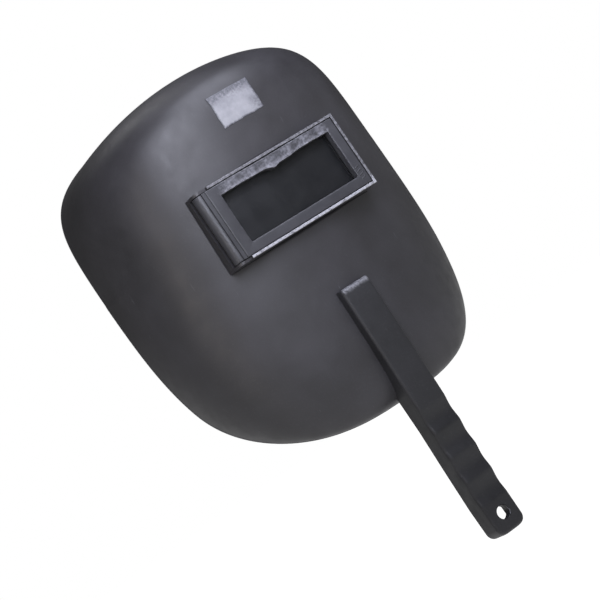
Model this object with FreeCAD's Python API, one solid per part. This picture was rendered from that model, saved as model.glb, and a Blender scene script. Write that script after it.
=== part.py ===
"""Hand-held welding shield: a dished plastic shell, a filter window with a hinged front bezel, and a handle.

Millimetres, X to the viewer's right, the face of the shield towards -Y, Z up.
Every piece is drawn in window coordinates, with the origin at the middle of the bezel's front plane,
and is moved at export so that the origin is the middle of the hanging hole in the handle.
"""
import FreeCAD, Part
import functools
import math
import os

Vector = FreeCAD.Vector

# ---- filter plates: the standard 2 x 4 1/4 inch size ---------------------------------------------
PLATE_WIDTH = 108.0
PLATE_HEIGHT = 50.8
COVER_THICKNESS = 2.0
FILTER_THICKNESS = 3.0
INNER_COVER_THICKNESS = 1.0
GASKET_THICKNESS = 0.8
VIEW_WIDTH = 103.5
VIEW_HEIGHT = 41.3

# ---- shell ---------------------------------------------------------------------------------------
WALL = 2.4
HALF_WIDTH = 127.8         # rim to centre plane
CROWN_TOP = 126.4          # rim height above the window centre
CROWN_SAG = 35.9           # drop of the rim's top arc between the middle and the sides
CHIN_BOTTOM = -178.7
CHIN_POWER = 2.91          # exponent of the chin's rounded outline
CORNER_POWER = 8.5         # how sharply the top arc meets the sides
FACE_POWER = 4.28          # exponent of the softer outline near the face
SIDE_FLARE = 0.00039       # widening per millimetre downwards
POLE_Z = 6.0               # middle of the rings, inside the window
RIM_DEPTH = 123.0
RIM_TILT = 0.173
CHIN_SWEEP_START = -101.4  # below this the rim curves forwards
CHIN_SWEEP = 0.0092
FACE_SET_BACK = 8.0
FACE_BOW = 0.0028          # sideways bow of the face, per square millimetre
FACE_LEAN = -0.08
FACE_ARCH = -0.0002
BEND_REACH = 8.0           # the two exponents of the bend between face and side wall
BEND_DEPTH = 2.8
RING_POINTS = 72
FACE_REACHES = [0.14, 0.27, 0.40, 0.53, 0.64, 0.73, 0.80]
WALL_DEPTHS = [0.10, 0.16, 0.23, 0.32, 0.42, 0.54, 0.68, 0.84, 1.0]
PATCH_REACHES = [0.10, 0.22, 0.34, 0.46, 0.58, 0.70, 0.80, 0.88, 0.94]
PATCH_RUN = 60.0           # how far a patch of the face is pulled out to make a cutting block

# ---- window housing ------------------------------------------------------------------------------
HOUSING_RIGHT = 62.4
HOUSING_LEFT = -71.0
HOUSING_HALF_HEIGHT = 31.5
LIP = 2.2
LEDGE_DEPTH = 4.3
OUTER_ROUND = 0.8          # front edges of the box and of the bezel
INNER_ROUND = 0.4
POCKET_WIDTH = 109.0
POCKET_HEIGHT = 51.8
SEAT_THICKNESS = 2.0
SPRING_SPACE = 1.8
SPRING_THICKNESS = 0.35
SPRING_WIDTH = 3.6
SPRING_HALF_LENGTH = 48.0
SPRING_INSET = 0.6         # from the plates' long edges
SPRING_CLEARANCE = 0.05
SIDE_WALL = 2.6
FLANGE_LEFT = -86.0
FLANGE_RIGHT = 77.5
FLANGE_HALF_HEIGHT = 45.0
FLANGE_THICKNESS = 2.4
BARREL_SPACE = 0.7         # room behind the hinge barrel
BARREL_SLOT = 3.1          # how far the barrel's slot enters the box, past the bezel's left edge
WELD = 0.1                 # overlap of pieces that are joined into one moulding
FIT_GAP = 0.3
SKIN_GAP = 0.1             # between parts that follow the same curved skin

# ---- hinged bezel --------------------------------------------------------------------------------
BEZEL_LEFT = -62.4
BEZEL_RIGHT = 59.8
BEZEL_HALF_HEIGHT = 28.9
BEZEL_FRONT = 0.6
BEZEL_BACK = 4.0
SKIRT_END = 7.0
SKIRT_WIDTH = 106.0
SKIRT_HEIGHT = 49.6
BARREL_X = -65.4
BARREL_Y = 8.6
BARREL_RADIUS = 5.5
PIN_RADIUS = 1.0
PIN_RUNNING_CLEARANCE = 0.05
GRIP_RIBS = 4
GRIP_RIB_PITCH = 3.2
GRIP_RIB_SIZE = (3.6, 0.5, 1.1)   # width, height, thickness
GRIP_RIB_START = 5.0       # first rib above the bezel's lower edge
GRIP_RIB_INSET = 1.2

# ---- handle --------------------------------------------------------------------------------------
HANDLE_WIDTH = 26.5
HANDLE_TOP = -85.5
HANDLE_TIP = -303.5
HOLE_Z = -288.5
HOLE_RADIUS = 5.3
TAB_THICKNESS = 7.5
HANDLE_WEB = 3.2
HANDLE_SIDE = 2.8
HANDLE_DEPTH = 19.5
HANDLE_BEND_Z = -150.0
HANDLE_TOP_Y = 4.9
HANDLE_BEND_Y = 6.7
HANDLE_TAB_Y = 12.9
HANDLE_TAB_START = -279.0
FINGER_PITCH = 21.6
FINGER_TOP = -191.5
FINGER_GROOVES = 4
FINGER_DEPTH = 1.8
TIP_ROUND = 7.0
GUSSET_BACK = 28.0         # back of the handle where it leaves the chin
BLANK_BACK = 36.5          # the handle's blank reaches this far, past the shell's wall
GUSSET_END_Z = -184.0
GRIP_BACK_Z = -205.0
GRIP_RIB_HEIGHTS = [-172.0, -194.0, -216.0, -238.0, -260.0, -278.0]
GRIP_RIB_HALF = 1.0
HOLE_BOSS_WALL = 3.2
INSERT_SET_BACK = 0.6      # inserts end this far in front of the shell
TOP_BEVEL = (2.6, 3.4)     # height and depth of the bevel at the handle's top
HANDLE_SCREW_HEIGHTS = [-100.0, -123.0, -146.0]
HANDLE_SCREW_RADIUS = 2.0
INSERT_RADIUS = 2.9
INSERT_LENGTH = 5.5
BOSS_RADIUS = 5.2
BACKING_BACK = 22.6
BACKING_HALF_WIDTH = 15.0

# ---- housing screws ------------------------------------------------------------------------------
HOUSING_SCREWS = [(-79.5, 38.5), (-79.5, -38.5), (71.0, 38.5), (71.0, -38.5)]
STUD_RADIUS = 3.0
STUD_PILOT = 1.3
STUD_CLEARANCE = 0.2
PAD_RADIUS = 5.6
PAD_RISE = 5.6             # flat seat of the pad behind the curved flange

# ---- fasteners -----------------------------------------------------------------------------------
WASHER_THICKNESS = 1.0
HOUSING_WASHER_RADIUS = 5.0
HOUSING_WASHER_BORE = 1.7
HANDLE_WASHER_RADIUS = 5.5
HANDLE_WASHER_GAP = 0.15
HOUSING_SCREW_LENGTH = 6.5
HOUSING_SCREW_HEAD = (3.0, 2.2)    # radius, height
HANDLE_SCREW_HEAD = (4.0, 2.6)
THREAD_GAP = 0.02
SCREW_END_GAP = 0.3
HEAD_ROUND = 0.45          # edge radius, recess reach and recess depth, as fractions of the head
RECESS_REACH = 0.55
RECESS_DEPTH = 0.55
RECESS_HALF_WIDTH = 0.4
SHANK_CLEARANCE = 0.25     # round the handle's screws in the shell and the backing plate

# ---- label ---------------------------------------------------------------------------------------
LABEL_LEFT = -18.0
LABEL_RIGHT = 20.0
LABEL_BOTTOM = 61.5
LABEL_TOP = 88.0
LABEL_THICKNESS = 0.25


# ---- the shell's skin ----------------------------------------------------------------------------
def superellipse(c, s, half_width, half_height, power):
    """Distance from the centre to a superellipse, in the direction (c, s)."""
    return (abs(c / half_width) ** power + abs(s / half_height) ** power) ** (-1 / power)


def rim_radius(c, s):
    """Rim outline: a superellipse chin, straight sides and a shallow arc on top."""
    if s <= 0:
        return superellipse(c, s, HALF_WIDTH, POLE_Z - CHIN_BOTTOM, CHIN_POWER)
    arc_radius = (HALF_WIDTH ** 2 + CROWN_SAG ** 2) / (2 * CROWN_SAG)
    arc_centre = CROWN_TOP - POLE_Z - arc_radius
    to_arc = s * arc_centre + math.sqrt((s * arc_centre) ** 2 - arc_centre ** 2 + arc_radius ** 2)
    to_side = HALF_WIDTH / max(abs(c), 1e-6)
    return (to_arc ** -CORNER_POWER + to_side ** -CORNER_POWER) ** (-1 / CORNER_POWER)


def face_radius(c, s):
    """Softer outline that the rings near the window follow."""
    height = CROWN_TOP - POLE_Z if s > 0 else POLE_Z - CHIN_BOTTOM
    return superellipse(c, s, HALF_WIDTH, height, FACE_POWER)


def reach_at_depth(depth):
    """Reach of the ring that lies this fraction of the way down the side wall."""
    return (1 - (1 - depth) ** BEND_DEPTH) ** (1 / BEND_REACH)


def face_depth(x, z):
    """Depth of the gently bowed face behind the bezel's front plane."""
    return FACE_SET_BACK + FACE_BOW * x ** 2 + FACE_LEAN * z + FACE_ARCH * z ** 2


def skin_point(angle, reach):
    """Point on the outer skin, from 0 at the middle of the rings to 1 on the rim."""
    c = math.cos(angle)
    s = math.sin(angle)
    rim = rim_radius(c, s)
    face = face_radius(c, s)
    radius = reach * (face + (rim - face) * reach ** 4)
    z = POLE_Z + radius * s
    x = radius * c * (1 - SIDE_FLARE * radius * s)
    rim_z = POLE_Z + rim * s
    rim_y = RIM_DEPTH + RIM_TILT * rim_z - CHIN_SWEEP * max(0.0, CHIN_SWEEP_START - rim_z) ** 2
    depth = 1 - (1 - reach ** BEND_REACH) ** (1 / BEND_DEPTH)
    flat_y = face_depth(x, z)
    return Vector(x, flat_y + (rim_y - flat_y) * depth, z)


def offset_point(angle, reach, inwards):
    """Point of the skin moved along its normal, towards the wearer."""
    point = skin_point(angle, reach)
    along = skin_point(angle + 0.01, reach) - skin_point(angle - 0.01, reach)
    outer_reach = min(reach + 0.002, 1.0)
    across = skin_point(angle, outer_reach) - skin_point(angle, outer_reach - 0.004)
    normal = along.cross(across)
    normal.normalize()
    return point + normal * inwards


def ring(reach, inwards):
    """Closed smooth wire round the window at one reach."""
    angles = [2 * math.pi * i / RING_POINTS for i in range(RING_POINTS)]
    curve = Part.BSplineCurve()
    curve.interpolate(Points=[offset_point(a, reach, inwards) for a in angles], PeriodicFlag=True)
    return Part.Wire(curve.toShape())


def skin(inwards, reaches):
    """Smooth face through a set of rings."""
    return Part.makeLoft([ring(reach, inwards) for reach in reaches], False, False)


def wall(outer, inner):
    """Closed dish between two offsets of the skin."""
    reaches = FACE_REACHES + [reach_at_depth(d) for d in WALL_DEPTHS]
    ends = []
    for reach in (reaches[0], reaches[-1]):
        ends.append(Part.makeLoft([ring(reach, outer), ring(reach, inner)], False, True))
    faces = skin(outer, reaches).Faces + skin(inner, reaches).Faces
    for end in ends:
        faces = faces + end.Faces
    sewn = Part.makeCompound(faces)
    sewn.sewShape(0.01)
    return oriented(Part.makeSolid(sewn.Shells[0] if sewn.Shells else sewn))


@functools.lru_cache(maxsize=None)
def behind_face(inwards, run=PATCH_RUN):
    """Block between an offset of the face and the same patch moved back by run."""
    return oriented(skin(inwards, PATCH_REACHES).extrude(Vector(0, run, 0)))


# ---- helpers -------------------------------------------------------------------------------------
def oriented(solid):
    """The same solid with a positive volume."""
    if solid.Volume < 0:
        solid.reverse()
    return solid


def block(x0, x1, y0, y1, z0, z1):
    """Box between two values on each axis."""
    return Part.makeBox(x1 - x0, y1 - y0, z1 - z0, Vector(x0, y0, z0))


def centred_block(width, height, y0, y1):
    """Box centred on the window's axis, from y0 back to y1."""
    return block(-width / 2, width / 2, y0, y1, -height / 2, height / 2)


def frame_ring(outer_width, outer_height, inner_width, inner_height, y0, y1):
    """Rectangular ring."""
    outer = centred_block(outer_width, outer_height, y0, y1)
    return outer.cut(centred_block(inner_width, inner_height, y0 - 1, y1 + 1))


def rod(x, z, y0, y1, radius):
    """Cylinder along Y."""
    return Part.makeCylinder(radius, y1 - y0, Vector(x, y0, z), Vector(0, 1, 0))


def upright(x, y, z0, z1, radius):
    """Cylinder along Z."""
    return Part.makeCylinder(radius, z1 - z0, Vector(x, y, z0))


def round_edges(shape, radius, wanted):
    """Fillet on every edge whose bounding box passes the test."""
    return shape.makeFillet(radius, [edge for edge in shape.Edges if wanted(edge.BoundBox)])


def flat_at(low, high, value):
    """Whether a bounding box is flat at this coordinate."""
    return abs(low - value) < 1e-3 and abs(high - value) < 1e-3


def largest(shape):
    """The largest solid that a cut leaves."""
    return max(shape.Solids, key=lambda solid: solid.Volume)


def single(shape):
    """A clean solid from a boolean result."""
    return largest(shape.removeSplitter())


# ---- stack depths, front to back -----------------------------------------------------------------
FRONT_GASKET_END = SKIRT_END + GASKET_THICKNESS
COVER_START = FRONT_GASKET_END + FIT_GAP
COVER_END = COVER_START + COVER_THICKNESS
FILTER_START = COVER_END + GASKET_THICKNESS
FILTER_END = FILTER_START + FILTER_THICKNESS
INNER_START = FILTER_END + GASKET_THICKNESS
INNER_END = INNER_START + INNER_COVER_THICKNESS
SEAT_START = INNER_END + SPRING_SPACE
SEAT_END = SEAT_START + SEAT_THICKNESS


# ---- sub-parts -----------------------------------------------------------------------------------
def make_shell():
    """Moulded dish with the window opening, screw studs inside and three handle holes."""
    body = wall(0.0, WALL)
    opening = block(HOUSING_LEFT - FIT_GAP, HOUSING_RIGHT + FIT_GAP, -20, 60,
                    -HOUSING_HALF_HEIGHT - FIT_GAP, HOUSING_HALF_HEIGHT + FIT_GAP)
    body = largest(body.cut(opening))
    for x, z in HOUSING_SCREWS:
        base = face_depth(x, z) + WALL / 2
        top = pad_back(x, z) - STUD_CLEARANCE
        body = body.fuse(rod(x, z, base, top, STUD_RADIUS))
        body = body.cut(rod(x, z, face_depth(x, z) + WALL, top + 1, STUD_PILOT))
    for z in HANDLE_SCREW_HEIGHTS:
        body = body.cut(rod(0, z, 0, 40, HANDLE_SCREW_RADIUS + SHANK_CLEARANCE))
    return largest(body)


def pad_back(x, z):
    """Depth of the flat rear of the flange pad round one screw."""
    return face_depth(x, z) + WALL + FLANGE_THICKNESS + PAD_RISE


def make_window_housing():
    """Box through the shell: a lip round three sides, a pocket for the plates, a flange inside."""
    h = HOUSING_HALF_HEIGHT
    tube_outer = block(HOUSING_LEFT, HOUSING_RIGHT, 0, SEAT_END, -h, h)
    door_space = block(HOUSING_LEFT - 1, BEZEL_RIGHT + FIT_GAP + WELD, -1, LEDGE_DEPTH,
                       -h + LIP, h - LIP)
    tube_outer = round_edges(tube_outer, OUTER_ROUND, lambda b: flat_at(b.YMin, b.YMax, 0) and b.XMax > 0)
    body = tube_outer.cut(door_space)
    body = round_edges(body, INNER_ROUND, lambda b: flat_at(b.YMin, b.YMax, 0) and b.ZMax < h - LIP + 1e-3
                       and b.ZMin > LIP - h - 1e-3)
    body = body.cut(centred_block(POCKET_WIDTH, POCKET_HEIGHT, -1, SEAT_START))
    body = body.cut(centred_block(VIEW_WIDTH, VIEW_HEIGHT, 0, SEAT_END + 1))
    barrel_back = BARREL_Y + BARREL_RADIUS + BARREL_SPACE
    slot_end = BEZEL_LEFT + BARREL_SLOT
    body = body.cut(block(HOUSING_LEFT - 1, slot_end, -1, barrel_back, -h - 1, h + 1))
    ear_front = BARREL_Y - BARREL_RADIUS
    for z0, z1 in ((-h, -h + LIP), (h - LIP, h)):
        ear = upright(BARREL_X, BARREL_Y, z0, z1, BARREL_RADIUS)
        ear = ear.fuse(block(BARREL_X, slot_end + WELD, ear_front, barrel_back + WELD, z0, z1))
        ear = ear.fuse(block(BARREL_X - BARREL_RADIUS, BARREL_X, BARREL_Y, barrel_back + WELD, z0, z1))
        body = body.fuse(ear)
    skirt_wall = block(HOUSING_LEFT, HOUSING_RIGHT, LEDGE_DEPTH, 45, -h, h)
    skirt_wall = skirt_wall.cut(block(HOUSING_LEFT + SIDE_WALL, HOUSING_RIGHT - SIDE_WALL, 0, 50,
                                      -h + SIDE_WALL, h - SIDE_WALL))
    skirt_wall = skirt_wall.cut(block(HOUSING_LEFT - 1, slot_end, -1, barrel_back, -h - 1, h + 1))
    skirt_wall = skirt_wall.cut(behind_face(WALL + SKIN_GAP + FLANGE_THICKNESS))
    body = body.fuse(skirt_wall)
    body = body.cut(block(HOUSING_LEFT + SIDE_WALL, -POCKET_WIDTH / 2 - SIDE_WALL,
                          barrel_back + SIDE_WALL, 45, -h + SIDE_WALL, h - SIDE_WALL))
    flange = behind_face(WALL + SKIN_GAP, FLANGE_THICKNESS)
    flange = flange.common(block(FLANGE_LEFT, FLANGE_RIGHT, 0, 60,
                                 -FLANGE_HALF_HEIGHT, FLANGE_HALF_HEIGHT))
    flange = flange.cut(block(HOUSING_LEFT + 1, HOUSING_RIGHT - 1, 0, 60, -h + 1, h - 1))
    body = body.fuse(flange)
    for x, z in HOUSING_SCREWS:
        pad = rod(x, z, 0, pad_back(x, z), PAD_RADIUS).common(behind_face(WALL + SKIN_GAP))
        body = body.fuse(pad)
        body = body.cut(rod(x, z, 0, 60, STUD_RADIUS + STUD_CLEARANCE))
    for z0, z1 in ((-h - 1, -h + LIP + 1), (h - LIP - 1, h + 1)):
        body = body.cut(upright(BARREL_X, BARREL_Y, z0, z1, PIN_RADIUS))
    return largest(body)


def make_front_bezel():
    """Door with the aperture, a skirt that enters the pocket, the hinge barrel and finger ribs."""
    h = BEZEL_HALF_HEIGHT
    plate = block(BEZEL_LEFT, BEZEL_RIGHT, BEZEL_FRONT, BEZEL_BACK, -h, h)
    plate = round_edges(plate, OUTER_ROUND, lambda b: flat_at(b.YMin, b.YMax, BEZEL_FRONT))
    skirt = centred_block(SKIRT_WIDTH, SKIRT_HEIGHT, BEZEL_FRONT, SKIRT_END)
    barrel = upright(BARREL_X, BARREL_Y, -h, h, BARREL_RADIUS)
    barrel = round_edges(barrel, OUTER_ROUND, lambda b: b.ZLength < 1e-3)
    body = plate.fuse(skirt).fuse(barrel)
    body = body.cut(centred_block(VIEW_WIDTH, VIEW_HEIGHT, -1, SKIRT_END + 1))
    body = round_edges(body, INNER_ROUND, lambda b: flat_at(b.YMin, b.YMax, BEZEL_FRONT)
                       and b.XMax < VIEW_WIDTH / 2 + 0.01 and b.XMin > -VIEW_WIDTH / 2 - 0.01
                       and b.ZMax < VIEW_HEIGHT / 2 + 0.01 and b.ZMin > -VIEW_HEIGHT / 2 - 0.01)
    body = body.cut(upright(BARREL_X, BARREL_Y, -h - 1, h + 1, PIN_RADIUS + PIN_RUNNING_CLEARANCE))
    width, height, thick = GRIP_RIB_SIZE
    for i in range(GRIP_RIBS):
        z = -h + GRIP_RIB_START + i * GRIP_RIB_PITCH
        x = BEZEL_RIGHT - GRIP_RIB_INSET
        body = body.fuse(block(x - width, x, BEZEL_FRONT - height, BEZEL_FRONT + WELD, z, z + thick))
    return single(body)


def make_hinge_pin():
    h = HOUSING_HALF_HEIGHT
    return upright(BARREL_X, BARREL_Y, -h, h, PIN_RADIUS)


def make_gasket(width, height, start):
    """Flat rubber ring round the view."""
    return frame_ring(width, height, VIEW_WIDTH, VIEW_HEIGHT, start, start + GASKET_THICKNESS)


def make_plate(start, end):
    return centred_block(PLATE_WIDTH, PLATE_HEIGHT, start, end)


def make_plate_springs():
    """Two bowed strips of spring steel, above and below the view."""
    rise = SPRING_SPACE - SPRING_THICKNESS - 2 * SPRING_CLEARANCE
    radius = (SPRING_HALF_LENGTH ** 2 + rise ** 2) / (2 * rise)
    centre_y = INNER_END + SPRING_CLEARANCE + radius
    lowest = SPRING_INSET - PLATE_HEIGHT / 2
    springs = []
    for z in (lowest, -lowest - SPRING_WIDTH):
        outer = upright(0, centre_y, z, z + SPRING_WIDTH, radius)
        inner = upright(0, centre_y, z - 1, z + SPRING_WIDTH + 1, radius - SPRING_THICKNESS)
        reach = block(-SPRING_HALF_LENGTH, SPRING_HALF_LENGTH, INNER_END - 1, SEAT_START, z, z + SPRING_WIDTH)
        springs.append(outer.cut(inner).common(reach))
    return Part.makeCompound([largest(spring) for spring in springs])


def make_screw(x, z, seat_y, length, radius, head_radius, head_height):
    """Pan-head screw that points towards the face, with a cross recess."""
    head = rod(x, z, seat_y, seat_y + head_height, head_radius)
    top = seat_y + head_height
    head = round_edges(head, head_height * HEAD_ROUND, lambda b: flat_at(b.YMin, b.YMax, top))
    screw = head.fuse(rod(x, z, seat_y - length, seat_y, radius))
    slot = head_radius * RECESS_REACH
    recess_start = seat_y + head_height * (1 - RECESS_DEPTH)
    for w, h in ((slot, RECESS_HALF_WIDTH), (RECESS_HALF_WIDTH, slot)):
        screw = screw.cut(block(x - w, x + w, recess_start, seat_y + head_height + 1, z - h, z + h))
    return single(screw)


def make_washer(x, z, y0, outer, inner):
    """Flat washer with its front face at y0."""
    y1 = y0 + WASHER_THICKNESS
    return rod(x, z, y0, y1, outer).cut(rod(x, z, y0 - 1, y1 + 1, inner))


def make_housing_washers():
    return Part.makeCompound([make_washer(x, z, pad_back(x, z), HOUSING_WASHER_RADIUS, HOUSING_WASHER_BORE)
                              for x, z in HOUSING_SCREWS])


def make_housing_screws():
    screws = []
    for x, z in HOUSING_SCREWS:
        seat = pad_back(x, z) + WASHER_THICKNESS
        radius = STUD_PILOT - THREAD_GAP
        screws.append(make_screw(x, z, seat, HOUSING_SCREW_LENGTH, radius, *HOUSING_SCREW_HEAD))
    return Part.makeCompound(screws)


def handle_front(z):
    """Depth of the handle's front face: two straight runs, then four finger grooves."""
    if z >= HANDLE_BEND_Z:
        t = (HANDLE_TOP - z) / (HANDLE_TOP - HANDLE_BEND_Z)
        return HANDLE_TOP_Y + (HANDLE_BEND_Y - HANDLE_TOP_Y) * t
    t = min(1.0, (HANDLE_BEND_Z - z) / (HANDLE_BEND_Z - HANDLE_TAB_START))
    straight = HANDLE_BEND_Y + (HANDLE_TAB_Y - HANDLE_BEND_Y) * t
    phase = (FINGER_TOP - z) / FINGER_PITCH
    if 0 < phase < FINGER_GROOVES:
        straight += FINGER_DEPTH * (0.5 - 0.5 * math.cos(2 * math.pi * phase))
    return straight


def handle_profile(set_in):
    """Side view of the handle as a wire, moved in from its front by set_in."""
    top = HANDLE_TOP - set_in
    tip = HANDLE_TIP + set_in
    count = 88
    steps = [top + (tip + TIP_ROUND - top) * i / count for i in range(count + 1)]
    front = [Vector(0, handle_front(z) + set_in, z) for z in steps]
    curve = Part.BSplineCurve()
    curve.interpolate(front)
    corner = front[-1]
    middle = Vector(0, corner.y + TIP_ROUND * 0.29, tip + TIP_ROUND * 0.29)
    end = Vector(0, corner.y + TIP_ROUND, tip)
    tip_arc = Part.Arc(corner, middle, end).toShape()
    back_tip = Vector(0, corner.y + HANDLE_DEPTH - 3.0, tip)
    back_low = Vector(0, corner.y + HANDLE_DEPTH - 1.0, tip + 4.0)
    back_grip = Vector(0, GUSSET_BACK, GRIP_BACK_Z)
    back_chin = Vector(0, GUSSET_BACK, GUSSET_END_Z)
    back_top = Vector(0, BLANK_BACK, top)
    corners = [end, back_tip, back_low, back_grip, back_chin, back_top, front[0]]
    lines = [Part.LineSegment(a, b).toShape() for a, b in zip(corners, corners[1:])]
    return Part.Wire([curve.toShape(), tip_arc] + lines)


def make_handle():
    """Channel-section grip: a front web with finger grooves, two sides, ribs and screw bosses."""
    half = HANDLE_WIDTH / 2
    blank = Part.Face(handle_profile(0.0)).extrude(Vector(HANDLE_WIDTH, 0, 0))
    blank.translate(Vector(-half, 0, 0))
    outline = block(-half, half, -20, 60, HANDLE_TIP + TIP_ROUND, HANDLE_TOP)
    for side in (-1, 1):
        outline = outline.fuse(rod(side * (half - TIP_ROUND), HANDLE_TIP + TIP_ROUND, -20, 60, TIP_ROUND))
    outline = outline.fuse(block(-half + TIP_ROUND, half - TIP_ROUND, -20, 60,
                                 HANDLE_TIP, HANDLE_TIP + TIP_ROUND + 1))
    blank = blank.common(outline)
    inner_half = half - HANDLE_SIDE
    core = Part.Face(handle_profile(HANDLE_WEB)).extrude(Vector(2 * inner_half, 0, 0))
    core.translate(Vector(-inner_half, 0, 0))
    core = core.fuse(block(-inner_half, inner_half, 30, 60, HANDLE_TIP + HANDLE_WEB, HANDLE_TOP - HANDLE_WEB))
    for z in GRIP_RIB_HEIGHTS:
        core = core.cut(block(-half, half, 0, 60, z - GRIP_RIB_HALF, z + GRIP_RIB_HALF))
    body = blank.cut(core)
    for z in HANDLE_SCREW_HEIGHTS:
        body = body.fuse(rod(0, z, handle_front(z) + 1, 24, BOSS_RADIUS))
    tab_back = HANDLE_TAB_Y + TAB_THICKNESS
    body = body.fuse(rod(0, HOLE_Z, HANDLE_TAB_Y + 1, tab_back, HOLE_RADIUS + HOLE_BOSS_WALL).common(blank))
    body = body.cut(rod(0, HOLE_Z, 0, 60, HOLE_RADIUS))
    body = largest(body.cut(wall(-SKIN_GAP, WALL)))
    for z in HANDLE_SCREW_HEIGHTS:
        body = body.cut(rod(0, z, insert_front(z), 60, INSERT_RADIUS))
    height, depth = TOP_BEVEL
    low = Vector(-20, HANDLE_TOP_Y, HANDLE_TOP - height)
    high = Vector(-20, HANDLE_TOP_Y + depth, HANDLE_TOP + 1)
    outside = [Vector(-20, 0, HANDLE_TOP + 1), Vector(-20, 0, HANDLE_TOP - height)]
    chamfer = Part.makePolygon([low, high, *outside, low])
    body = body.cut(Part.Face(chamfer).extrude(Vector(40, 0, 0)))
    return single(body)


def insert_front(z):
    """Depth of the front end of one brass insert."""
    return face_depth(0, z) - INSERT_LENGTH - INSERT_SET_BACK


def make_handle_inserts():
    inserts = []
    for z in HANDLE_SCREW_HEIGHTS:
        front = insert_front(z)
        insert = rod(0, z, front, front + INSERT_LENGTH, INSERT_RADIUS)
        inserts.append(insert.cut(rod(0, z, front - 1, 60, HANDLE_SCREW_RADIUS + THREAD_GAP)))
    return Part.makeCompound(inserts)


def make_handle_backing_plate():
    """Spreader inside the shell: its front follows the skin and its back is flat for the washers."""
    top = HANDLE_SCREW_HEIGHTS[0] + 11.0
    bottom = HANDLE_SCREW_HEIGHTS[-1] - 7.0
    body = behind_face(WALL + SKIN_GAP).common(
        block(-BACKING_HALF_WIDTH, BACKING_HALF_WIDTH, 0, BACKING_BACK, bottom, top))
    for z in HANDLE_SCREW_HEIGHTS:
        body = body.cut(rod(0, z, 0, 40, HANDLE_SCREW_RADIUS + SHANK_CLEARANCE))
    return single(body)


def make_handle_washers():
    return Part.makeCompound([make_washer(0, z, BACKING_BACK, HANDLE_WASHER_RADIUS,
                                          HANDLE_SCREW_RADIUS + HANDLE_WASHER_GAP)
                              for z in HANDLE_SCREW_HEIGHTS])


def make_handle_screws():
    screws = []
    for z in HANDLE_SCREW_HEIGHTS:
        seat = BACKING_BACK + WASHER_THICKNESS
        length = seat - insert_front(z) - SCREW_END_GAP
        screws.append(make_screw(0, z, seat, length, HANDLE_SCREW_RADIUS, *HANDLE_SCREW_HEAD))
    return Part.makeCompound(screws)


def make_label():
    """Thin blank sticker that follows the forehead."""
    sheet = behind_face(-LABEL_THICKNESS - SKIN_GAP / 2, LABEL_THICKNESS)
    return single(sheet.common(block(LABEL_LEFT, LABEL_RIGHT, -30, 60, LABEL_BOTTOM, LABEL_TOP)))


def main():
    os.makedirs("parts", exist_ok=True)
    parts = {
        "shell": make_shell(),
        "window_housing": make_window_housing(),
        "housing_screws": make_housing_screws(),
        "housing_washers": make_housing_washers(),
        "front_bezel": make_front_bezel(),
        "hinge_pin": make_hinge_pin(),
        "front_gasket": make_gasket(SKIRT_WIDTH, SKIRT_HEIGHT, SKIRT_END),
        "cover_plate": make_plate(COVER_START, COVER_END),
        "spacer_gasket": make_gasket(PLATE_WIDTH, PLATE_HEIGHT, COVER_END),
        "filter_plate": make_plate(FILTER_START, FILTER_END),
        "rear_gasket": make_gasket(PLATE_WIDTH, PLATE_HEIGHT, FILTER_END),
        "inner_cover_plate": make_plate(INNER_START, INNER_END),
        "plate_springs": make_plate_springs(),
        "handle": make_handle(),
        "handle_inserts": make_handle_inserts(),
        "handle_backing_plate": make_handle_backing_plate(),
        "handle_washers": make_handle_washers(),
        "handle_screws": make_handle_screws(),
        "label": make_label(),
    }
    to_hanging_hole = Vector(0, -HANDLE_TAB_Y - TAB_THICKNESS / 2, -HOLE_Z)
    for name, shape in parts.items():
        shape.translate(to_hanging_hole)
        shape.exportStep("parts/" + name + ".step")
        print(name, "solids", len(shape.Solids), "valid", shape.isValid(), "volume", round(shape.Volume, 1))


main()
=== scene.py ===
"""A hand-held welding shield: moulded shell, window with a hinged bezel, and a grip handle.

Every new piece is a surface worked out on a grid with numpy, in millimetres from the middle of the
window's front plane, and is turned into metres in the part's own frame when its mesh is made.
"""

import math

import bmesh
import bpy
import numpy as np
from mathutils import Matrix, Vector


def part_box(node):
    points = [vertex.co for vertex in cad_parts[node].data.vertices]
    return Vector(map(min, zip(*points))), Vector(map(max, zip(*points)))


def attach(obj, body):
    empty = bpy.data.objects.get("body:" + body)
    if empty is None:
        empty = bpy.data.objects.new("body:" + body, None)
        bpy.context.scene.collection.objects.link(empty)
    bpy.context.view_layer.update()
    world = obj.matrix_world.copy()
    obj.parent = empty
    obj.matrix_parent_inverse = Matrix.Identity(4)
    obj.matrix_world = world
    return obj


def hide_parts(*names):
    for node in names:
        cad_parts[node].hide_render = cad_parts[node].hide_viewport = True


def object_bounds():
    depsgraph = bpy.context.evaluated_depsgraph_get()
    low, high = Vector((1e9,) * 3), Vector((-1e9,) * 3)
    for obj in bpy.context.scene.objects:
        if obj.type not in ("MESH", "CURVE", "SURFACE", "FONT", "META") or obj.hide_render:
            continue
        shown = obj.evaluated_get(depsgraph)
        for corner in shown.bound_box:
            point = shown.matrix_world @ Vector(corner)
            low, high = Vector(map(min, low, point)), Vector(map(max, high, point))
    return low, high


bl_info = {
    "name": "Welding Hand Shield",
    "version": (1, 0, 0),
    "blender": (4, 5, 0),
    "location": "3D View > Sidebar > Shield",
    "description": "Builds a hand-held welding shield round its packed frame",
    "category": "Add Mesh",
}

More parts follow.
